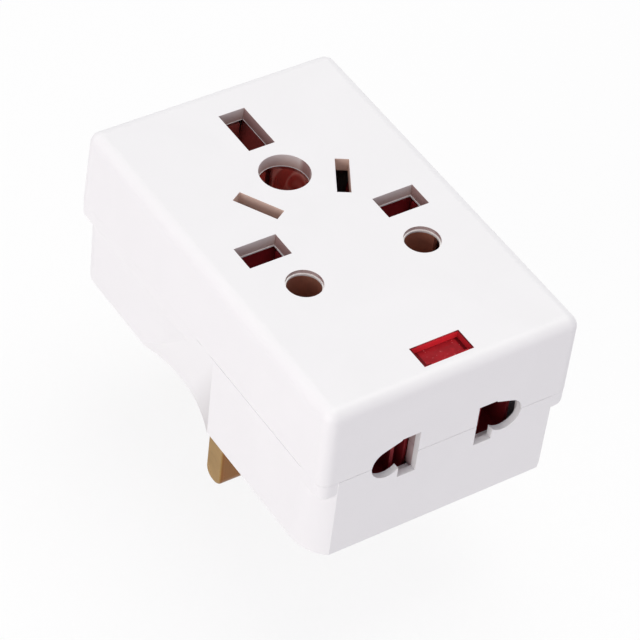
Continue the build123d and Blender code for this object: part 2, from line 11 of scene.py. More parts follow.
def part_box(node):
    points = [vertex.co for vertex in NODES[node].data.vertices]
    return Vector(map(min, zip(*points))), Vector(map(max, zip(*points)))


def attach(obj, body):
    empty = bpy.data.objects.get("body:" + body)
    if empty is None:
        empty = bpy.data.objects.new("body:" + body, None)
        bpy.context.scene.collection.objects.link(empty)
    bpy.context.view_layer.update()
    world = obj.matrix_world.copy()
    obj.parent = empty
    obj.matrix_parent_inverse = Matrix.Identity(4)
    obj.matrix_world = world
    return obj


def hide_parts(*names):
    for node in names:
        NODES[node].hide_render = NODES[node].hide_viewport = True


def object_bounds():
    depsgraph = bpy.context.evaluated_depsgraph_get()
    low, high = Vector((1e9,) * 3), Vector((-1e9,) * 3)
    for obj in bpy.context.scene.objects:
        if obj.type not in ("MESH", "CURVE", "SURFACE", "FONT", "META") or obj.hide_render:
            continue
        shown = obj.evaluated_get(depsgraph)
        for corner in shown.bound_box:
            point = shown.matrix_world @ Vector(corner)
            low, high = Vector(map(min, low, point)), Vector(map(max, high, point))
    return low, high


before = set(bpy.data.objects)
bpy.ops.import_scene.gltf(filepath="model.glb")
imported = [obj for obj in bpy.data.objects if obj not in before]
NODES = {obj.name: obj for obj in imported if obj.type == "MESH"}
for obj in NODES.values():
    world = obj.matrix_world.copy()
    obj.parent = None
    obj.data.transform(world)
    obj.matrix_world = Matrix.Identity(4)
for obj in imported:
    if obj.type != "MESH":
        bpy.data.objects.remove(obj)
CAD_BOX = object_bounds()

bl_info = {
    "name": "Multi Socket Adapter Studio",
    "version": (1, 0, 0),
    "blender": (4, 5, 0),
    "location": "View3D > Sidebar > Adapter",
    "description": "Dresses a multi socket adapter and sets it in a small white studio",
    "category": "Object",
}

SHELLS = ("top_shell", "base_shell")
POLE_PINS = ("line_pin", "neutral_pin")
POLE_CLIPS = ("line_socket_clip", "neutral_socket_clip")
POLE_SLEEVES = ("line_round_sleeve", "neutral_round_sleeve")
BLADE_CLIPS = ("line_blade_clip", "neutral_blade_clip")
END_CLIPS = ("line_end_clip", "neutral_end_clip")
STRIPS = ("line_feed", "line_link", "line_bus", "neutral_bus", "earth_bus")

# Modelling: lengths in metres, angles, counts of sides, and shares of the size that is worked on.
SMOOTH = radians(35)
FACING = 0.9
SEAT = 0.00003
SLEEVE_SHEET = 0.0006
RIM_SIDES = 64
RIM_ROLL = ((0.8, 0.4), (1.0, 0.3), (0.8, 0.25))
RIM_CLOSE = 0.05
GUIDE_LIFT = 0.0005
GUIDE_CLEARANCE = 0.00008
GUIDE_NOSE = 0.2
GUIDE_TAPER = 0.85
GUIDE_EDGE = 0.00006
BULB_SIDES = 40
BULB_STEPS = ((0.42, 0.95), (0.28, 0.86), (0.18, 0.72), (0.12, 0.45))
ROD_SIDES = 20
ROD_SHIFT = 0.1
TIP_STEPS = ((0.5, 0.85), (0.3, 0.6))
LEAD_STEPS = ((0.5, 0.5),)
LEAD_REACH = 0.35

# The factor, the two colours and the result of a Mix node
MIX_SOCKETS = (0, 6, 7)
MIX_RESULT = 2

# Metals. Here and below, a pair is a range of noise, of a normal's part, of gains or of roughness.
LINE_DEPTH = 0.000002
LINE_SHADES = (0.9, 1.1)
LINE_GLOSS = 0.06
DULL_GLOSS = 0.3
PATCH_RANGE = (0.42, 0.68)
NOISE_MIDDLE = 0.5
# Width and strength of the bands of painted glint
SWIRL_WIDTH = 0.12
GLINT = 0.9
SPRING_DULL = 0.45
# A darker painted reflection on the faces that look along one axis
DARK_REFLECTION_SHADES = (0.75, 1.25)
DARK_REFLECTION_FACING = (0.35, 0.8)

# Moulded plastic, the painted shade and copper light on the walls of its slots, and the painted
# shade in its finger grips
FLOW_SHADES = (0.975, 1.02)
FLOW_GLOSS = 0.05
GRAIN_GLOSS = 0.02
UPRIGHT_FACING = (0.3, 0.6)
# Painted shade and copper light on the slot walls, darker towards the bottom of each slot
SLOT_SHADE_MARGIN = 0.0025
SLOT_SHADE_DEPTH = 1.2
SLOT_SHADE_TOP = 0.35
SLOT_SHADE_DRIFT = (0.7, 1.1)
# Darker painted shade on the side walls and in the pole holes, and warm painted copper light in the
# angled slots
SIDE_SHADE = 0.85
SIDE_FACING = (0.92, 0.98)
HOLE_SHADE = 0.65
BLADE_COPPER_LIGHT = 0.85
# Painted shade in the curl at the front of each finger grip
GRIP_SHADE = 0.9
GRIP_FACING = (0.08, 0.5)
GRIP_SIDE = 0.3
GRIP_BACK = 0.01
GRIP_DRIFT = (0.8, 1.1)

# The lens: the painted shade on its floor, its specks, the painted shade at the ends of its floor
# and on its end walls
# The floor is a darker copy of the red, as painted shade
TRAY_SHADE_GAINS = (0.29, 0.4)
TRAY_MOTTLE = (0.35, 0.65)
TRAY_FACING = (0.4, 0.7)
SPECK_TONE = (1.0, 0.35, 0.35)
SPECK_STRENGTH = 0.3
SPECK_RANGE = (0.66, 0.74)
# The ends of the floor are darker still, as painted shade
END_SHADE_SHIFT = 0.0002
END_SHADE_FADE = 0.00012
END_SHADE_STRENGTH = 0.85
END_SHADE_GAIN = 0.1
# The end walls are darker, as painted shade
END_WALL_SHADE_GAIN = 0.45
END_WALL_FACING = (0.6, 0.8)
LENS_GLOSS = (0.1, 0.24)

# The lamp's glass and the resistor's bands, which are set along its length
SMOKE_GAIN = 0.85
GLASS_GLOSS = (0.02, 0.06)
LACQUER_GLOSS = (0.3, 0.45)
BAND_WIDTH = 0.1
BAND_END = 0.98
RESISTOR_BANDS = (
    (0.2, (0.35, 0.13, 0.03)),
    (0.36, (0.01, 0.01, 0.01)),
    (0.52, (0.6, 0.5, 0.02)),
)
LAST_BAND = 0.76

# The studio
WHITE = (1.0, 1.0, 1.0, 1.0)
SENSOR_WIDTH = 36.0
CLIP_START = 0.01
CLIP_END = 20.0


def colour(name, description, default):
    """A colour that a user may change."""
    return FloatVectorProperty(
        name=name, description=description, default=default, size=3, min=0.0, max=1.0,
        subtype="COLOR",
    )


def share(name, description, default):
    """A setting between 0 and 1."""
    return FloatProperty(
        name=name, description=description, default=default, min=0.0, max=1.0, subtype="FACTOR"
    )


def length(name, description, default):
    """A length in metres."""
    return FloatProperty(
        name=name, description=description, default=default, min=0.0, precision=5,
        unit="LENGTH", subtype="DISTANCE",
    )


def sides(name, description, default):
    """A width and a length in metres."""
    return FloatVectorProperty(
        name=name, description=description, default=default, size=2,
        subtype="XYZ_LENGTH", unit="LENGTH",
    )


def point(name, description, default):
    """A place in metres."""
    return FloatVectorProperty(
        name=name, description=description, default=default, size=3,
        subtype="TRANSLATION", unit="LENGTH",
    )


def watts(name, description, default):
    """The power of a lamp."""
    return FloatProperty(name=name, description=description, default=default, min=0.0, unit="POWER")


class AdapterFinish(bpy.types.PropertyGroup):
    """Colours and surface settings of the adapter's pieces."""

    housing: colour("Housing", "White of the two moulded shells", (0.83, 0.825, 0.83))
    housing_gloss: share("Housing roughness", "Mean roughness of the moulded shells", 0.42)
    # The next three colours are painted shade and copper light on the walls of the top slots
    painted_slot_shade: colour("Slot dust", "Brown of the walls of the top slots", (0.5, 0.36, 0.305))
    painted_side_shade: colour("Side dust", "Brown of the side walls of the top slots", (0.28, 0.15, 0.14))
    painted_blade_light: colour("Blade slot tint", "Warm tint in the angled slots", (0.76, 0.56, 0.46))
    # Painted shade in the curl at the front of each finger grip
    painted_grip_shade: colour("Grip marks", "Grey of the marks in the finger grips", (0.42, 0.39, 0.385))
    grain: length("Moulding grain", "Depth of the fine grain left by the mould", 0.000002)
    # The guide ribs' grey-pink is painted shade with copper light on the housing plastic
    guide: colour("End guides", "Pinkish grey of the guide ribs", (0.46, 0.35, 0.35))
    lens: colour("Lens", "Red of the indicator lens", (1.0, 0.045, 0.065))
    copper: colour("Earth clip", "Copper of the earth slot's clip", (0.55, 0.14, 0.12))
    sleeve_copper: colour("Earth sleeve", "Copper of the earth sleeve", (0.66, 0.125, 0.095))
    # Painted glint in bands on the earth sleeve
    glint: colour("Sleeve glints", "Copper in the swirls on the earth sleeve", (1.0, 0.48, 0.4))
    # The pole clips' copper is painted darker, as shade inside their slots
    pole_clip_shaded_copper: colour("Pole clips", "Red copper of the pole clips", (0.42, 0.036, 0.044))
    # The blade and end clips' copper is painted darker still, as shade
    inner_clip_shaded_copper: colour("Dark clips", "Copper of the blade and end clips", (0.3, 0.022, 0.028))
    bronze: colour("Pole sleeves", "Brown bronze of the pole sleeves", (0.52, 0.225, 0.15))
    tin: colour("Rolled rims", "Tin on the rolled rims of the sleeves", (0.96, 0.94, 0.91))
    brass: colour("Plug pins", "Brass of the plug pins", (0.4, 0.235, 0.075))
    # Painted dark reflection on the pins' broad faces
    painted_dark_reflection: colour("Rubbed brass", "Browned brass on the pins' broad faces", (0.27, 0.118, 0.045))
    strip: colour("Strips", "Brass of the strips under the contacts", (0.55, 0.4, 0.2))
    steel: colour("Screws", "Zinc plate of the case screws", (0.5, 0.5, 0.5))
    tarnish: share("Tarnish", "How far the metals have dulled in patches", 0.35)


class AdapterSizes(bpy.types.PropertyGroup):
    """Sizes of the pieces that are modelled here, and of the places that the finishes mark."""

    rim_reach: length("Rim reach", "How far a sleeve's rolled rim stands into its hole", 0.00022)
    rim_height: length("Rim height", "Height of a sleeve's rolled rim", 0.0006)
    rim_rise: length("Rim rise", "How far a rolled rim stands above its sleeve", 0.00035)
    ledge_reach: length("Ledge reach", "How far the ledge under a slot stands into it", 0.0001)
    ledge_height: length("Ledge height", "Thickness of the ledge under a slot", 0.0002)
    fine_ledge: length("Fine ledge", "Width and height of the earth apertures' ledges", 0.00007)
    slot_depth: length("Slot depth", "Depth of the slots in the top wall", 0.0021)
    pole_slot: sides("Pole slot", "Width and length of the pole slots", (0.00659, 0.00421))
    earth_slot: sides("Earth slot", "Width and length of the earth slot", (0.00421, 0.00819))
    guide_width: length("Guide width", "Width of the guide ribs beside the end slots", 0.00096)
    guide_reach: length("Guide reach", "How far a guide rib stands behind the front wall", 0.00149)
    guide_gap: length("Guide gap", "Gap between the guide ribs of the two shells", 0.00006)
    blade_reach: length("Blade slot reach", "Radius that holds an angled slot's walls", 0.0042)
    # Where the painted shade at the ends of the lens's floor starts
    lens_shade_start: length("Lens end", "Distance from the lens's middle to its dark ends", 0.0029)
    bulb_wall: length("Bulb wall", "Thickness of the lamp's glass", 0.00025)
    electrode_radius: length("Electrode radius", "Radius of the lamp's two electrodes", 0.0004)
    electrode_gap: length("Electrode gap", "Distance between the electrodes' middles", 0.0014)


class AdapterStage(bpy.types.PropertyGroup):
    """Floor, lamps and camera."""

    floor_reach: length("Floor reach", "Half the side of the floor", 1.6)
    floor: colour("Floor", "Colour of the floor", (0.9, 0.9, 0.9))
    floor_glow: share("Floor glow", "Share of the floor that the camera sees as even white", 0.85)
    sky: colour("Fill colour", "Colour of the even light from all round", (0.945, 0.9, 1.0))
    sky_level: FloatProperty(
        name="Fill level", description="Strength of the even light from all round",
        default=0.605, min=0.0,
    )
    lamp_side: length("Lamp side", "Side of each soft lamp", 0.7)
    key_place: point("Key place", "Where the lamp on the left stands", (-0.86, -0.25, 0.15))
    key_colour: colour("Key colour", "Colour of the lamp on the left", (1.0, 0.97, 0.92))
    key_power: watts("Key power", "Power of the lamp on the left", 4.55)
    top_place: point("Top lamp place", "Where the lamp overhead hangs", (0.2, 0.08, 0.92))
    top_colour: colour("Top lamp colour", "Colour of the lamp overhead", (0.96, 1.0, 0.9))
    top_power: watts("Top lamp power", "Power of the lamp overhead", 4.3)
    camera_place: point(
        "Camera place", "Where the camera stands", (-0.183433, -0.239475, 0.298953)
    )
    camera_aim: point(
        "Camera aim", "Point that the camera looks at", (-0.011338, -0.016489, 0.0276)
    )
    camera_roll: FloatProperty(
        name="Camera roll", description="Turn of the camera about its line of sight",
        default=radians(7.308), subtype="ANGLE", unit="ROTATION",
    )
    focal_length: FloatProperty(
        name="Focal length", description="Lens of the camera on a 36 mm sensor",
        default=168.75, min=1.0, unit="CAMERA",
    )


def feed(tree, socket, value):
    """Link a socket to another node's output, or set its value."""
    if isinstance(value, bpy.types.NodeSocket):
        tree.links.new(value, socket)
    else:
        socket.default_value = value


def put(tree, kind, settings=None, **inputs):
    """Add a node, set its fields, and feed its named sockets."""
    node = tree.nodes.new(kind)
    for field, value in (settings or {}).items():
        setattr(node, field, value)
    for key, value in inputs.items():
        feed(tree, node.inputs[key.replace("_", " ")], value)
    return node


def maths(tree, operation, *values):
    """A Math node's result."""
    node = put(tree, "ShaderNodeMath", {"operation": operation})
    for socket, value in zip(node.inputs, values):
        feed(tree, socket, value)
    return node.outputs[0]


def product(tree, first, *others):
    """The product of two or more values."""
    for other in others:
        first = maths(tree, "MULTIPLY", first, other)
    return first


def blend_colours(tree, factor, first, second):
    """A Mix node's colour: first where the factor is 0, second where it is 1."""
    node = put(tree, "ShaderNodeMix", {"data_type": "RGBA"})
    for index, value in zip(MIX_SOCKETS, (factor, first, second)):
        feed(tree, node.inputs[index], value)
    return node.outputs[MIX_RESULT]


def blend_shaders(tree, factor, first, second):
    """A Mix Shader node's result: first where the factor is 0, second where it is 1."""
    node = put(tree, "ShaderNodeMixShader")
    for socket, value in zip(node.inputs, (factor, first, second)):
        feed(tree, socket, value)
    return node.outputs[0]


def span(tree, value, low, high, start=0.0, end=1.0):
    """Map a value that runs from start to end onto low to high."""
    node = put(
        tree, "ShaderNodeMapRange", Value=value,
        From_Min=start, From_Max=end, To_Min=low, To_Max=high,
    )
    return node.outputs[0]


def parts(tree, vector):
    """The X, Y and Z of a vector, by name."""
    return put(tree, "ShaderNodeSeparateXYZ", Vector=vector).outputs


def normal_parts(tree):
    """The X, Y and Z of the surface's normal in the object's own axes, by name."""
    return parts(tree, put(tree, "ShaderNodeTexCoord").outputs["Normal"])


def rgba(value, gain=1.0):
    """A colour with full alpha, brightened or dimmed."""
    return (*[min(1.0, part * gain) for part in value], 1.0)


def new_group(name, inputs, outputs):
    """Start a shader node group with named sockets; returns its tree, input node and output node."""
    tree = bpy.data.node_groups.new(name, "ShaderNodeTree")
    for socket, kind, default in inputs:
        made = tree.interface.new_socket(socket, in_out="INPUT", socket_type=kind)
        if default is not None:
            made.default_value = default
    for socket in outputs:
        tree.interface.new_socket(socket, in_out="OUTPUT", socket_type="NodeSocketFloat")
    return tree, tree.nodes.new("NodeGroupInput"), tree.nodes.new("NodeGroupOutput")


def moulded_surface():
    """Node group: the fine grain of a mould and the faint flow of the plastic through it."""
    name = "Moulded Surface"
    if name in bpy.data.node_groups:
        return bpy.data.node_groups[name]
    inputs = (
        ("Vector", "NodeSocketVector", None),
        ("Grain Scale", "NodeSocketFloat", 5000.0),
        ("Flow Scale", "NodeSocketFloat", 60.0),
    )
    tree, given, result = new_group(name, inputs, ("Grain", "Flow"))
    place = given.outputs["Vector"]
    grain = put(
        tree, "ShaderNodeTexNoise", Vector=place, Scale=given.outputs["Grain Scale"], Detail=2.0
    )
    flow = put(
        tree, "ShaderNodeTexNoise", Vector=place, Scale=given.outputs["Flow Scale"],
        Detail=3.0, Distortion=1.2,
    )
    tree.links.new(grain.outputs["Fac"], result.inputs["Grain"])
    tree.links.new(flow.outputs["Fac"], result.inputs["Flow"])
    return tree


def worked_metal():
    """Node group: drawing lines along one axis, dulled patches, and bands for a painted glint."""
    name = "Worked Metal"
    if name in bpy.data.node_groups:
        return bpy.data.node_groups[name]
    inputs = (
        ("Vector", "NodeSocketVector", None),
        ("Stretch", "NodeSocketVector", (1.0, 1.0, 0.02)),
        ("Line Scale", "NodeSocketFloat", 9000.0),
        ("Patch Scale", "NodeSocketFloat", 260.0),
        ("Swirl Scale", "NodeSocketFloat", 210.0),
    )
    tree, given, result = new_group(name, inputs, ("Lines", "Patches", "Painted_Glints"))
    place = given.outputs["Vector"]
    stretched = put(tree, "ShaderNodeVectorMath", {"operation": "MULTIPLY"})
    tree.links.new(place, stretched.inputs[0])
    tree.links.new(given.outputs["Stretch"], stretched.inputs[1])
    lines = put(
        tree, "ShaderNodeTexNoise", Vector=stretched.outputs[0], Scale=given.outputs["Line Scale"],
        Detail=3.0,
    )
    patches = put(
        tree, "ShaderNodeTexNoise", Vector=place, Scale=given.outputs["Patch Scale"],
        Detail=5.0, Distortion=0.6,
    )
    # Noise bands that the earth sleeve uses for a painted glint
    glint_noise = put(
        tree, "ShaderNodeTexNoise", Vector=place, Scale=given.outputs["Swirl Scale"],
        Detail=0.0, Distortion=1.5,
    )
    ridge = maths(tree, "ABSOLUTE", maths(tree, "SUBTRACT", glint_noise.outputs["Fac"], NOISE_MIDDLE))
    patchy = span(tree, patches.outputs["Fac"], 0.0, 1.0, *PATCH_RANGE)
    tree.links.new(lines.outputs["Fac"], result.inputs["Lines"])
    tree.links.new(patchy, result.inputs["Patches"])
    tree.links.new(span(tree, ridge, 1.0, 0.0, 0.0, SWIRL_WIDTH), result.inputs["Painted_Glints"])
    return tree


def new_material(name, **constants):
    """A material with one Principled shader; returns it with its tree, shader and coordinates."""
    material = bpy.data.materials.new(name)
    material.use_nodes = True
    tree = material.node_tree
    shader = tree.nodes["Principled BSDF"]
    for key, value in constants.items():
        shader.inputs[key.replace("_", " ")].default_value = value
    place = put(tree, "ShaderNodeTexCoord").outputs["Object"]
    return material, tree, shader, place


def use_group(tree, group, place, **inputs):
    """Set a node group on the object's coordinates; returns its outputs, by name."""
    return put(tree, "ShaderNodeGroup", {"node_tree": group}, Vector=place, **inputs).outputs


def relief(tree, shader, height, depth):
    """Feed a height to the shader as a bump of that depth in metres."""
    bump = put(tree, "ShaderNodeBump", Height=height, Distance=depth)
    tree.links.new(bump.outputs["Normal"], shader.inputs["Normal"])


def middle(name):
    """The middle of a CAD node's box."""
    low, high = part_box(name)
    return (Vector(low) + Vector(high)) / 2


def half_width(name):
    """Half the width of a CAD node's box along X, which is the radius of a sleeve."""
    low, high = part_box(name)
    return (high[0] - low[0]) / 2


def near_pair(tree, spot, centre, radius):
    """1 within a radius of either of two points that mirror each other across X."""
    aside = maths(tree, "SUBTRACT", maths(tree, "ABSOLUTE", spot["X"]), abs(centre.x))
    ahead = maths(tree, "SUBTRACT", spot["Y"], centre.y)
    squares = [product(tree, side, side) for side in (aside, ahead)]
    return maths(tree, "LESS_THAN", maths(tree, "ADD", *squares), radius ** 2)


def painted_slot_shade(tree, place, flow, sizes):
    """Masks of the painted shade and copper light on the walls of the top slots.

    The first is for all upright walls, the second for side walls and the pole holes, and the third
    for the angled slots.
    """
    spot, facing = parts(tree, place), normal_parts(tree)
    low, high = CAD_BOX
    upright = span(tree, maths(tree, "ABSOLUTE", facing["Z"]), 1.0, 0.0, *UPRIGHT_FACING)
    # The walls are painted darker towards the bottom of each slot, as shade
    deep = span(tree, spot["Z"], 1.0, SLOT_SHADE_TOP, high[2] - sizes.slot_depth, high[2])
    above = maths(tree, "GREATER_THAN", spot["Z"], high[2] - SLOT_SHADE_DEPTH * sizes.slot_depth)
    inside = product(tree, above, upright)
    for index, axis in enumerate("XY"):
        past = maths(tree, "GREATER_THAN", spot[axis], low[index] + SLOT_SHADE_MARGIN)
        short = maths(tree, "LESS_THAN", spot[axis], high[index] - SLOT_SHADE_MARGIN)
        inside = product(tree, inside, past, short)
    deep_shade = product(tree, inside, deep, span(tree, flow, *SLOT_SHADE_DRIFT))
    # Side walls and the pole holes get a darker painted shade
    sideways = span(tree, maths(tree, "ABSOLUTE", facing["X"]), 0.0, SIDE_SHADE, *SIDE_FACING)
    sleeve = POLE_SLEEVES[0]
    holes = near_pair(tree, spot, middle(sleeve), half_width(sleeve))
    side_and_hole_shade = maths(tree, "MAXIMUM", sideways, product(tree, holes, HOLE_SHADE))
    # The angled slots get a warm painted copper light
    blades = near_pair(tree, spot, middle(BLADE_CLIPS[0]), sizes.blade_reach)
    return [deep_shade, product(tree, inside, side_and_hole_shade), product(tree, inside, blades, BLADE_COPPER_LIGHT)]


def painted_grip_shade(tree, place, flow):
    """Mask of the painted shade in the curl at the front of each finger grip."""
    spot, facing = parts(tree, place), normal_parts(tree)
    high = CAD_BOX[1]
    curled = span(tree, facing["Y"], 0.0, GRIP_SHADE, *GRIP_FACING)
    beside = maths(tree, "GREATER_THAN", maths(tree, "ABSOLUTE", facing["X"]), GRIP_SIDE)
    ahead = maths(tree, "LESS_THAN", spot["Y"], high[1] - GRIP_BACK)
    below = maths(tree, "LESS_THAN", spot["Z"], high[2] / 2)
    return product(tree, beside, ahead, below, curled, span(tree, flow, *GRIP_DRIFT))


def moulded_plastic(name, tone, roughness, depth, painted_shades=None, sizes=None, grip_shade=None):
    """Glossy moulded plastic with a fine grain, and a shade and gloss that drift a little.

    If asked, the walls of the top slots get three painted shades and copper lights, and the finger
    grips a painted shade.
    """
    material, tree, shader, place = new_material(name)
    surface = use_group(tree, moulded_surface(), place)
    flow, grain = surface["Flow"], surface["Grain"]
    shade = blend_colours(tree, flow, *[rgba(tone, gain) for gain in FLOW_SHADES])
    # Painted shade and copper light on the walls of the top slots
    if painted_shades:
        for mask, painted_shade in zip(painted_slot_shade(tree, place, flow, sizes), painted_shades):
            shade = blend_colours(tree, mask, shade, rgba(painted_shade))
    # Painted shade in the finger grips
    if grip_shade:
        shade = blend_colours(tree, painted_grip_shade(tree, place, flow), shade, rgba(grip_shade))
    tree.links.new(shade, shader.inputs["Base Color"])
    drift = span(tree, flow, roughness - FLOW_GLOSS, roughness + FLOW_GLOSS)
    rough = maths(tree, "ADD", drift, span(tree, grain, -GRAIN_GLOSS, GRAIN_GLOSS))
    tree.links.new(rough, shader.inputs["Roughness"])
    relief(tree, shader, grain, depth)
    return material


def metal(
    name, tone, dull, roughness, tarnish, stretch, metallic=1.0, painted_dark_reflection=None, face=None, glint=None
):
    """Drawn or rolled metal with fine lines along one axis and dull patches.

    If asked, the faces that look along the axis named by face get a darker painted reflection, or
    bands get a painted glint.
    """
    material, tree, shader, place = new_material(name, Metallic=metallic)
    worked = use_group(tree, worked_metal(), place, Stretch=stretch)
    lines = worked["Lines"]
    dulled = product(tree, worked["Patches"], tarnish)
    shade = blend_colours(tree, lines, *[rgba(tone, gain) for gain in LINE_SHADES])
    # Painted dark reflection on the faces that look along the face axis
    if painted_dark_reflection:
        across = maths(tree, "ABSOLUTE", normal_parts(tree)[face])
        dark_reflection_tone = blend_colours(tree, lines, *[rgba(painted_dark_reflection, gain) for gain in DARK_REFLECTION_SHADES])
        shade = blend_colours(tree, span(tree, across, 0.0, 1.0, *DARK_REFLECTION_FACING), shade, dark_reflection_tone)
    # Painted glint in bands
    if glint:
        shade = blend_colours(tree, product(tree, worked["Painted_Glints"], GLINT), shade, rgba(glint))
    tree.links.new(blend_colours(tree, dulled, shade, rgba(dull)), shader.inputs["Base Color"])
    streaks = span(tree, lines, roughness - LINE_GLOSS, roughness + LINE_GLOSS)
    rough = maths(tree, "ADD", streaks, product(tree, dulled, DULL_GLOSS))
    tree.links.new(rough, shader.inputs["Roughness"])
    relief(tree, shader, lines, LINE_DEPTH)
    return material


def red_lens(tone, shade_start, grain_depth):
    """Red plastic: bright walls, end walls darkened as painted shade, and a mottled floor with
    specks, darkened as painted shade and most at its ends.
    """
    material, tree, shader, place = new_material(
        "lens_red", Transmission_Weight=0.06, IOR=1.49, Specular_IOR_Level=0.03
    )
    surface = use_group(tree, moulded_surface(), place, Grain_Scale=2600.0, Flow_Scale=420.0)
    flow, grain = surface["Flow"], surface["Grain"]
    mottle = span(tree, flow, 0.0, 1.0, *TRAY_MOTTLE)
    # The floor is painted darker than the walls, as shade
    floor = blend_colours(tree, mottle, *[rgba(tone, gain) for gain in TRAY_SHADE_GAINS])
    specks = span(tree, grain, 0.0, SPECK_STRENGTH, *SPECK_RANGE)
    floor = blend_colours(tree, specks, floor, rgba(SPECK_TONE))
    # Painted shade, darker at the ends of the floor
    along = maths(tree, "ABSOLUTE", maths(tree, "SUBTRACT", parts(tree, place)["X"], END_SHADE_SHIFT))
    end_shade = span(tree, along, 0.0, END_SHADE_STRENGTH, shade_start, shade_start + END_SHADE_FADE)
    floor = blend_colours(tree, end_shade, floor, rgba(tone, END_SHADE_GAIN))
    facing = normal_parts(tree)
    upward = span(tree, facing["Z"], 0.0, 1.0, *TRAY_FACING)
    # Painted shade on the end walls
    endward = span(tree, maths(tree, "ABSOLUTE", facing["X"]), 0.0, 1.0, *END_WALL_FACING)
    walls = blend_colours(tree, endward, rgba(tone), rgba(tone, END_WALL_SHADE_GAIN))
    tree.links.new(blend_colours(tree, upward, walls, floor), shader.inputs["Base Color"])
    tree.links.new(span(tree, flow, *LENS_GLOSS), shader.inputs["Roughness"])
    relief(tree, shader, grain, grain_depth)
    return material


def clear_glass(name, tone):
    """Lamp glass, a little smoked, with faint draw lines."""
    material, tree, shader, place = new_material(name, Transmission_Weight=1.0, IOR=1.5)
    worked = use_group(tree, worked_metal(), place, Stretch=(0.02, 1.0, 1.0))
    smoked = blend_colours(tree, worked["Patches"], rgba(tone), rgba(tone, SMOKE_GAIN))
    tree.links.new(smoked, shader.inputs["Base Color"])
    tree.links.new(span(tree, worked["Lines"], *GLASS_GLOSS), shader.inputs["Roughness"])
    return material


def banded_lacquer(name, tone, bands, start, end, grain_depth):
    """Lacquered resistor body with coloured rings along Y between two places."""
    material, tree, shader, place = new_material(name)
    surface = use_group(tree, moulded_surface(), place)
    along = span(tree, parts(tree, place)["Y"], 0.0, 1.0, start, end)
    rings = put(tree, "ShaderNodeValToRGB", Fac=along)
    ramp = rings.color_ramp
    ramp.interpolation = "CONSTANT"
    ramp.elements[0].color = rgba(tone)
    ramp.elements[1].position = BAND_END
    ramp.elements[1].color = rgba(tone)
    for spot, band in bands:
        ramp.elements.new(spot).color = rgba(band)
        ramp.elements.new(spot + BAND_WIDTH).color = rgba(tone)
    tree.links.new(rings.outputs["Color"], shader.inputs["Base Color"])
    tree.links.new(span(tree, surface["Flow"], *LACQUER_GLOSS), shader.inputs["Roughness"])
    relief(tree, shader, surface["Grain"], grain_depth)
    return material


def dress(names, material):
    """Give the named CAD nodes one material."""
    for name in names:
        mesh = NODES[name].data
        mesh.materials.clear()
        mesh.materials.append(material)


class ADAPTER_OT_housing(bpy.types.Operator):
    """Give the two shells their glossy white moulded plastic"""

    bl_idname = "adapter.housing"
    bl_label = "Finish Housing"

    def execute(self, context):
        finish = context.scene.adapter_finish
        sizes = context.scene.adapter_sizes
        # Painted shade and copper light for the top slots, and painted shade for the finger grips
        painted_shades = (finish.painted_slot_shade, finish.painted_side_shade, finish.painted_blade_light)
        white = moulded_plastic(
            "moulded_white", finish.housing, finish.housing_gloss, finish.grain,
            painted_shades=painted_shades, sizes=sizes, grip_shade=finish.painted_grip_shade,
        )
        dress(SHELLS, white)
        return {"FINISHED"}


def begin(name, add, **settings):
    """Add a primitive with nothing else selected, name it, and select all of it in edit mode."""
    bpy.ops.object.select_all(action="DESELECT")
    add(**settings)
    piece = bpy.context.active_object
    piece.name = name
    piece.data.name = name
    bpy.ops.object.mode_set(mode="EDIT")
    bpy.ops.mesh.select_mode(type="VERT")
    bpy.ops.mesh.select_all(action="SELECT")
    return piece


def pick_faces(piece, direction):
    """In edit mode, select only the faces that look along a direction of the scene."""
    bpy.ops.mesh.select_mode(type="FACE")
    bpy.ops.mesh.select_all(action="DESELECT")
    turn = piece.matrix_world.to_3x3()
    form = bmesh.from_edit_mesh(piece.data)
    for face in form.faces:
        face.select_set((turn @ face.normal).dot(Vector(direction)) > FACING)
    bmesh.update_edit_mesh(piece.data)


def push(move, scale=(1.0, 1.0, 1.0), centre=None):
    """Extrude what is selected along a move, then scale it about a centre."""
    bpy.ops.mesh.extrude_region_move(TRANSFORM_OT_translate={"value": move})
    if centre is not None:
        bpy.ops.transform.resize(value=scale, center_override=centre)


def draw_in(steps, radius, side, centre):
    """Extrude a selected end outwards along X, narrower with each step."""
    for rise, width in steps:
        push((side * rise * radius, 0, 0), (1.0, width, width), centre)


def settle(piece):
    """Close edit mode with faces outwards and smooth sides, and put the place in the mesh."""
    bpy.ops.mesh.select_all(action="SELECT")
    bpy.ops.mesh.normals_make_consistent(inside=False)
    bpy.ops.object.mode_set(mode="OBJECT")
    bpy.ops.object.transform_apply(location=True, rotation=True, scale=True)
    bpy.ops.object.shade_smooth_by_angle(angle=SMOOTH)


def copy_piece(piece, name, move, turn=0.0, centre=(0.0, 0.0, 0.0)):
    """Copy a finished piece with its own mesh, turned about Z and moved."""
    bpy.ops.object.select_all(action="DESELECT")
    piece.select_set(True)
    bpy.context.view_layer.objects.active = piece
    bpy.ops.object.duplicate(linked=False)
    twin = bpy.context.active_object
    twin.name = name
    twin.data.name = name
    bpy.ops.object.mode_set(mode="EDIT")
    bpy.ops.mesh.select_all(action="SELECT")
    if turn:
        bpy.ops.transform.rotate(value=turn, orient_axis="Z", center_override=centre)
    bpy.ops.transform.translate(value=move)
    bpy.ops.object.mode_set(mode="OBJECT")
    return twin


def hand_over(piece, material):
    """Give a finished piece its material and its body."""
    piece.data.materials.clear()
    piece.data.materials.append(material)
    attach(piece, "root")


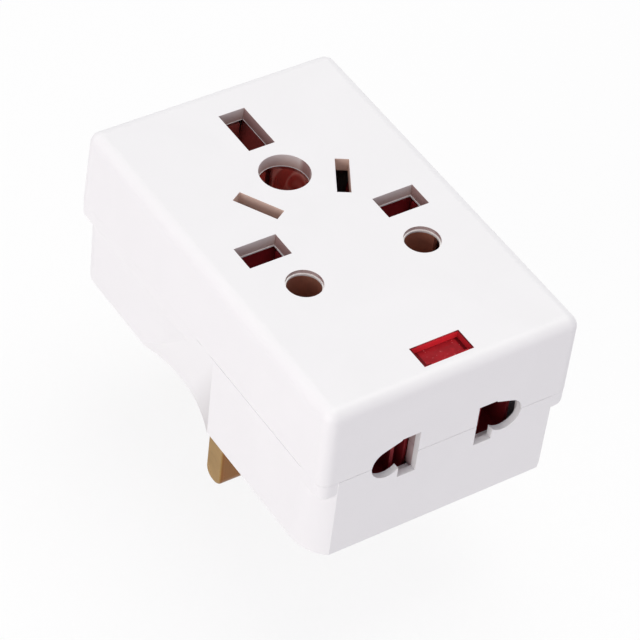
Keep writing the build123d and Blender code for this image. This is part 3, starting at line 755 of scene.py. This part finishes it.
def ring(name, foot, seat, profile):
    """Model a ring: a circle drawn up through radii and rises, and closed at its seat."""
    piece = begin(
        name, bpy.ops.mesh.primitive_circle_add, vertices=RIM_SIDES, radius=seat, location=foot
    )
    radius = seat
    for wanted, rise in profile:
        gain = wanted / radius
        push((0, 0, rise), (gain, gain, 1.0), foot)
        radius = wanted
    bpy.ops.mesh.select_mode(type="EDGE")
    bpy.ops.mesh.select_all(action="DESELECT")
    bpy.ops.mesh.select_non_manifold()
    bpy.ops.mesh.bridge_edge_loops()
    settle(piece)
    return piece


class ADAPTER_OT_rims(bpy.types.Operator):
    """Roll a tinned rim on the mouth of each pole sleeve"""

    bl_idname = "adapter.rims"
    bl_label = "Roll Sleeve Rims"

    def execute(self, context):
        finish = context.scene.adapter_finish
        sizes = context.scene.adapter_sizes
        first, second = POLE_SLEEVES
        hole = half_width(first) - SLEEVE_SHEET
        seat = hole + SEAT
        height = sizes.rim_height
        crown = Vector((*middle(first).xy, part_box(first)[1][2] + sizes.rim_rise))
        profile = [(hole - inward * sizes.rim_reach, rise * height) for inward, rise in RIM_ROLL]
        profile.append((seat, RIM_CLOSE * height))
        rim = ring("line_sleeve_rim", crown - Vector((0, 0, height)), seat, profile)
        twin = copy_piece(rim, "neutral_sleeve_rim", middle(second) - middle(first))
        tin = metal(
            "rim_tin", finish.tin, dull=(0.5, 0.46, 0.4), roughness=0.3,
            tarnish=finish.tarnish, stretch=(1.0, 1.0, 0.1), metallic=0.2,
        )
        for piece in (rim, twin):
            hand_over(piece, tin)
        return {"FINISHED"}


class ADAPTER_OT_ledges(bpy.types.Operator):
    """Leave a fine moulded ledge at the foot of the flat slots and of the earth hole"""

    bl_idname = "adapter.ledges"
    bl_label = "Mould Slot Ledges"

    def execute(self, context):
        finish = context.scene.adapter_finish
        sizes = context.scene.adapter_sizes
        first, second = POLE_CLIPS
        fine = sizes.fine_ledge
        foot = CAD_BOX[1][2] - sizes.slot_depth
        pole = self.ledge(
            "line_slot_ledge", middle(first), foot, sizes.pole_slot,
            sizes.ledge_reach, sizes.ledge_height,
        )
        twin = copy_piece(pole, "neutral_slot_ledge", middle(second) - middle(first))
        earth = self.ledge(
            "earth_slot_ledge", middle("earth_slot_clip"), foot, sizes.earth_slot, fine, fine
        )
        hole = half_width("earth_round_sleeve") - SLEEVE_SHEET
        seat = hole + SEAT
        profile = ((hole - fine, 0.0), (hole - fine, fine), (seat, 0.0))
        centre = Vector((*middle("earth_round_sleeve").xy, foot))
        round_ledge = ring("earth_hole_ledge", centre, seat, profile)
        white = moulded_plastic("ledge_white", finish.housing, finish.housing_gloss, finish.grain)
        for piece in (pole, twin, earth, round_ledge):
            hand_over(piece, white)
        return {"FINISHED"}

    def ledge(self, name, centre, foot, slot, reach, height):
        """Model one ledge: a thin frame set into the walls of its slot."""
        spot = Vector((*centre.xy, foot))
        wide, long = (side + 2 * SEAT for side in slot)
        piece = begin(name, bpy.ops.mesh.primitive_plane_add, size=wide, location=spot)
        bpy.ops.transform.resize(value=(1.0, long / wide, 1.0), center_override=spot)
        bpy.ops.mesh.inset(thickness=SEAT + reach)
        bpy.ops.mesh.delete(type="FACE")
        bpy.ops.mesh.select_all(action="SELECT")
        push((0, 0, height))
        settle(piece)
        return piece


class ADAPTER_OT_guides(bpy.types.Operator):
    """Mould a guide rib beside each slot of the front end, one in each shell"""

    bl_idname = "adapter.guides"
    bl_label = "Mould End Guides"

    def execute(self, context):
        finish = context.scene.adapter_finish
        sizes = context.scene.adapter_sizes
        low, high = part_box("neutral_end_clip")
        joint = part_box("top_shell")[0][2]
        wide = sizes.guide_width
        tall = high[2] - joint + GUIDE_LIFT - sizes.guide_gap / 2
        back = low[1] - GUIDE_CLEARANCE
        front = back - sizes.guide_reach - SEAT
        nose = GUIDE_NOSE * sizes.guide_reach
        long = back - nose - front
        side = high[0] - GUIDE_CLEARANCE
        spot = Vector((side + wide / 2, front + long / 2, joint - (sizes.guide_gap + tall) / 2))
        guide = begin(
            "neutral_base_guide", bpy.ops.mesh.primitive_cube_add, size=wide, location=spot
        )
        bpy.ops.transform.resize(value=(1.0, long / wide, tall / wide), center_override=spot)
        pick_faces(guide, (0, 1, 0))
        push((0, nose, 0), (GUIDE_TAPER, 1.0, 1.0), spot)
        bpy.ops.mesh.select_all(action="SELECT")
        bpy.ops.mesh.bevel(offset=GUIDE_EDGE, segments=2, affect="EDGES")
        settle(guide)
        up = (0, 0, tall + sizes.guide_gap)
        across = (-2 * spot.x, 0, 0)
        above = copy_piece(guide, "neutral_top_guide", up)
        base_twin = copy_piece(guide, "line_base_guide", across)
        top_twin = copy_piece(above, "line_top_guide", across)
        # The ribs take a grey-pink painted shade with copper light
        grey = moulded_plastic("guide_painted_shade", finish.guide, finish.housing_gloss, finish.grain)
        for piece in (guide, above, base_twin, top_twin):
            hand_over(piece, grey)
        return {"FINISHED"}


class ADAPTER_OT_lamp(bpy.types.Operator):
    """Blow the lamp's glass and set its two electrodes"""

    bl_idname = "adapter.lamp"
    bl_label = "Make Neon Lamp"

    def execute(self, context):
        sizes = context.scene.adapter_sizes
        bulb = self.bulb(sizes)
        rod = self.electrode(sizes)
        still = (0.0, 0.0, 0.0)
        twin = copy_piece(rod, "lamp_electrode_neutral", still, pi, middle("neon_lamp"))
        hand_over(bulb, clear_glass("lamp_glass", (0.95, 0.93, 0.9)))
        nickel = metal(
            "electrode_nickel", (0.55, 0.53, 0.5), dull=(0.2, 0.18, 0.16), roughness=0.35,
            tarnish=0.4, stretch=(0.05, 1.0, 1.0),
        )
        for piece in (rod, twin):
            hand_over(piece, nickel)
        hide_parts("neon_lamp")
        return {"FINISHED"}

    def bulb(self, sizes):
        """Model the glass: a tube with drawn-in ends and a thin wall."""
        low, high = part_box("neon_lamp")
        centre = middle("neon_lamp")
        radius = (high[2] - low[2]) / 2
        tube = high[0] - low[0] - 2 * radius
        glass = begin(
            "lamp_bulb", bpy.ops.mesh.primitive_cylinder_add,
            vertices=BULB_SIDES, radius=radius, depth=tube, location=centre, rotation=(0, pi / 2, 0),
        )
        for side in (-1, 1):
            pick_faces(glass, (side, 0, 0))
            draw_in(BULB_STEPS, radius, side, centre)
        settle(glass)
        wall = glass.modifiers.new("wall", "SOLIDIFY")
        wall.thickness = sizes.bulb_wall
        wall.offset = -1.0
        bpy.ops.object.modifier_apply(modifier=wall.name)
        return glass

    def electrode(self, sizes):
        """Model one electrode: a stout rod with a rounded tip that narrows to its lead."""
        half = half_width("neon_lamp")
        radius = sizes.electrode_radius
        axis = middle("neon_lamp") + Vector((0, sizes.electrode_gap / 2, 0))
        rod = begin(
            "lamp_electrode_line", bpy.ops.mesh.primitive_cylinder_add,
            vertices=ROD_SIDES, radius=radius, depth=half,
            location=axis + Vector((ROD_SHIFT * half, 0, 0)), rotation=(0, pi / 2, 0),
        )
        pick_faces(rod, (-1, 0, 0))
        draw_in(TIP_STEPS, radius, -1, axis)
        pick_faces(rod, (1, 0, 0))
        draw_in(LEAD_STEPS, radius, 1, axis)
        push((LEAD_REACH * half, -sizes.electrode_gap / 2, 0))
        settle(rod)
        return rod


class ADAPTER_OT_indicator(bpy.types.Operator):
    """Give the lens, resistor and leads their finishes"""

    bl_idname = "adapter.indicator"
    bl_label = "Finish Indicator"

    def execute(self, context):
        finish = context.scene.adapter_finish
        sizes = context.scene.adapter_sizes
        dress(("indicator_lens",), red_lens(finish.lens, sizes.lens_shade_start, finish.grain))
        low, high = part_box("neon_resistor")
        bands = (*RESISTOR_BANDS, (LAST_BAND, finish.brass))
        body = banded_lacquer(
            "resistor_lacquer", (0.5, 0.38, 0.24), bands, low[1], high[1], finish.grain
        )
        dress(("neon_resistor",), body)
        tinned = metal(
            "tinned_wire", (0.6, 0.6, 0.6), dull=(0.3, 0.3, 0.3), roughness=0.3,
            tarnish=finish.tarnish, stretch=(1.0, 1.0, 1.0),
        )
        dress(("lamp_leads",), tinned)
        return {"FINISHED"}


class ADAPTER_OT_contacts(bpy.types.Operator):
    """Give the contact springs, sleeves, strips and rivets their metals"""

    bl_idname = "adapter.contacts"
    bl_label = "Finish Contacts"

    def execute(self, context):
        finish = context.scene.adapter_finish
        # The earth sleeve gets a painted glint
        glint = finish.glint
        # Name of the metal, its pieces, tone, roughness, metallic share and painted glint
        springs = (
            ("earth_copper", ("earth_slot_clip",), finish.copper, 0.3, 0.4, None),
            ("earth_sleeve_copper", ("earth_round_sleeve",), finish.sleeve_copper, 0.2, 0.45, glint),
            # The pole clips' copper is painted darker, as shade
            ("pole_clip_shaded_copper", POLE_CLIPS, finish.pole_clip_shaded_copper, 0.3, 0.4, None),
            # The blade and end clips' copper is painted darker still, as shade
            ("inner_clip_shaded_copper", BLADE_CLIPS + END_CLIPS, finish.inner_clip_shaded_copper, 0.34, 0.4, None),
            ("sleeve_bronze", POLE_SLEEVES, finish.bronze, 0.36, 0.4, None),
        )
        for name, pieces, tone, roughness, metallic, painted_glint in springs:
            spring = metal(
                name, tone, dull=[SPRING_DULL * part for part in tone], roughness=roughness,
                tarnish=finish.tarnish, stretch=(1.0, 1.0, 0.03), metallic=metallic, glint=painted_glint,
            )
            dress(pieces, spring)
        strip = metal(
            "strip_brass", finish.strip, dull=(0.25, 0.16, 0.07), roughness=0.35,
            tarnish=finish.tarnish, stretch=(1.0, 0.03, 1.0),
        )
        dress(STRIPS, strip)
        rivet = metal(
            "rivet_brass", finish.brass, dull=(0.3, 0.2, 0.09), roughness=0.35,
            tarnish=finish.tarnish, stretch=(1.0, 1.0, 1.0),
        )
        dress(("contact_rivets",), rivet)
        return {"FINISHED"}


class ADAPTER_OT_pins(bpy.types.Operator):
    """Give the plug pins their drawn brass"""

    bl_idname = "adapter.pins"
    bl_label = "Finish Plug Pins"

    def execute(self, context):
        finish = context.scene.adapter_finish
        # The pins' broad faces get a darker painted reflection
        broad_faces = (("pin_brass", POLE_PINS, "Y"), ("earth_pin_brass", ("earth_pin",), "X"))
        for name, pieces, face in broad_faces:
            brass = metal(
                name, finish.brass, dull=(0.25, 0.15, 0.06), roughness=0.28,
                tarnish=finish.tarnish, stretch=(1.0, 1.0, 0.02), painted_dark_reflection=finish.painted_dark_reflection, face=face,
            )
            dress(pieces, brass)
        return {"FINISHED"}


class ADAPTER_OT_fuse(bpy.types.Operator):
    """Give the fuse and its clips their finishes"""

    bl_idname = "adapter.fuse"
    bl_label = "Finish Fuse"

    def execute(self, context):
        finish = context.scene.adapter_finish
        ceramic = moulded_plastic(
            "fuse_ceramic", (0.68, 0.65, 0.58), roughness=0.5, depth=finish.grain
        )
        dress(("fuse_body",), ceramic)
        caps = metal(
            "fuse_plate", (0.6, 0.58, 0.54), dull=(0.3, 0.28, 0.24), roughness=0.25,
            tarnish=finish.tarnish, stretch=(1.0, 0.1, 1.0),
        )
        dress(("fuse_caps",), caps)
        clip = metal(
            "clip_brass", finish.strip, dull=(0.25, 0.16, 0.07), roughness=0.3,
            tarnish=finish.tarnish, stretch=(1.0, 0.03, 1.0),
        )
        dress(("fuse_clips",), clip)
        return {"FINISHED"}


class ADAPTER_OT_screws(bpy.types.Operator):
    """Give the case screws their zinc plate"""

    bl_idname = "adapter.screws"
    bl_label = "Finish Case Screws"

    def execute(self, context):
        finish = context.scene.adapter_finish
        zinc = metal(
            "zinc_plate", finish.steel, dull=(0.3, 0.29, 0.25), roughness=0.32,
            tarnish=finish.tarnish, stretch=(1.0, 1.0, 1.0),
        )
        dress(("case_screws",), zinc)
        return {"FINISHED"}


def seen_rays(tree):
    """1 for the rays whose background shows: those of the camera, of gloss and of glass."""
    path = put(tree, "ShaderNodeLightPath")
    direct = maths(tree, "ADD", path.outputs["Is Camera Ray"], path.outputs["Is Glossy Ray"])
    seen = maths(tree, "ADD", direct, path.outputs["Is Transmission Ray"])
    return maths(tree, "MINIMUM", seen, 1.0)


def floor_finish(stage):
    """Pale floor that shows almost white, keeps a soft shadow, and is clear from below."""
    material = bpy.data.materials.new("studio_floor")
    material.use_nodes = True
    tree = material.node_tree
    tree.nodes.clear()
    lit = put(tree, "ShaderNodeBsdfDiffuse", Color=rgba(stage.floor)).outputs[0]
    glow = put(tree, "ShaderNodeEmission", Color=WHITE, Strength=1.0).outputs[0]
    clear = put(tree, "ShaderNodeBsdfTransparent").outputs[0]
    back = put(tree, "ShaderNodeNewGeometry").outputs["Backfacing"]
    above = blend_shaders(tree, product(tree, seen_rays(tree), stage.floor_glow), lit, glow)
    put(tree, "ShaderNodeOutputMaterial", Surface=blend_shaders(tree, back, above, clear))
    return material


def light_world(scene, stage):
    """Even light from all round, seen as plain white."""
    world = bpy.data.worlds.new("studio_world")
    scene.world = world
    world.use_nodes = True
    tree = world.node_tree
    tree.nodes.clear()
    fill = put(tree, "ShaderNodeBackground", Color=rgba(stage.sky), Strength=stage.sky_level)
    white = put(tree, "ShaderNodeBackground", Color=WHITE, Strength=1.0)
    both = blend_shaders(tree, seen_rays(tree), fill.outputs[0], white.outputs[0])
    put(tree, "ShaderNodeOutputWorld", Surface=both)


class ADAPTER_OT_stage(bpy.types.Operator):
    """Lay the floor and set up the lamps and the camera"""

    bl_idname = "adapter.stage"
    bl_label = "Set Up Studio"

    def execute(self, context):
        scene = context.scene
        stage = scene.adapter_stage
        scene.view_settings.view_transform = "Standard"
        bpy.ops.object.select_all(action="DESELECT")
        bpy.ops.mesh.primitive_plane_add(size=2 * stage.floor_reach, location=(0, 0, CAD_BOX[0].z))
        floor = context.active_object
        floor.name = "studio_floor"
        floor.data.materials.append(floor_finish(stage))
        light_world(scene, stage)
        lamps = {
            "key_lamp": (stage.key_place, stage.key_power, stage.key_colour),
            "top_lamp": (stage.top_place, stage.top_power, stage.top_colour),
        }
        for name, (place, power, tone) in lamps.items():
            turn = (-Vector(place)).to_track_quat("-Z", "Y")
            bpy.ops.object.light_add(type="AREA", location=place, rotation=turn.to_euler())
            lamp = context.active_object
            lamp.name = name
            lamp.data.energy = power
            lamp.data.color = tone
            lamp.data.size = stage.lamp_side
        sight = Vector(stage.camera_aim) - Vector(stage.camera_place)
        roll = Quaternion((0, 0, 1), stage.camera_roll)
        turn = sight.to_track_quat("-Z", "Y") @ roll
        bpy.ops.object.camera_add(location=stage.camera_place, rotation=turn.to_euler())
        camera = context.active_object
        camera.data.sensor_width = SENSOR_WIDTH
        camera.data.lens = stage.focal_length
        camera.data.clip_start = CLIP_START
        camera.data.clip_end = CLIP_END
        scene.camera = camera
        return {"FINISHED"}


class ADAPTER_PT_studio(bpy.types.Panel):
    """Sidebar panel that lists the steps and their settings"""

    bl_idname = "ADAPTER_PT_studio"
    bl_label = "Multi Socket Adapter"
    bl_space_type = "VIEW_3D"
    bl_region_type = "UI"
    bl_category = "Adapter"

    def draw(self, context):
        scene = context.scene
        for settings in (scene.adapter_finish, scene.adapter_sizes, scene.adapter_stage):
            box = self.layout.box()
            for field in settings.__annotations__:
                box.prop(settings, field)
        for step in STEPS:
            self.layout.operator(step.bl_idname)


SETTINGS = (AdapterFinish, AdapterSizes, AdapterStage)
STEPS = (
    ADAPTER_OT_housing,
    ADAPTER_OT_ledges,
    ADAPTER_OT_guides,
    ADAPTER_OT_rims,
    ADAPTER_OT_lamp,
    ADAPTER_OT_indicator,
    ADAPTER_OT_contacts,
    ADAPTER_OT_pins,
    ADAPTER_OT_fuse,
    ADAPTER_OT_screws,
    ADAPTER_OT_stage,
)
CLASSES = (*SETTINGS, *STEPS, ADAPTER_PT_studio)


def register():
    for kind in CLASSES:
        bpy.utils.register_class(kind)
    bpy.types.Scene.adapter_finish = PointerProperty(type=AdapterFinish)
    bpy.types.Scene.adapter_sizes = PointerProperty(type=AdapterSizes)
    bpy.types.Scene.adapter_stage = PointerProperty(type=AdapterStage)


def unregister():
    del bpy.types.Scene.adapter_stage
    del bpy.types.Scene.adapter_sizes
    del bpy.types.Scene.adapter_finish
    for kind in reversed(CLASSES):
        bpy.utils.unregister_class(kind)


def main():
    register()
    bpy.ops.adapter.housing()
    bpy.ops.adapter.ledges()
    bpy.ops.adapter.guides()
    bpy.ops.adapter.rims()
    bpy.ops.adapter.lamp()
    bpy.ops.adapter.indicator()
    bpy.ops.adapter.contacts()
    bpy.ops.adapter.pins()
    bpy.ops.adapter.fuse()
    bpy.ops.adapter.screws()
    bpy.ops.adapter.stage()


if __name__ == "__main__":
    main()
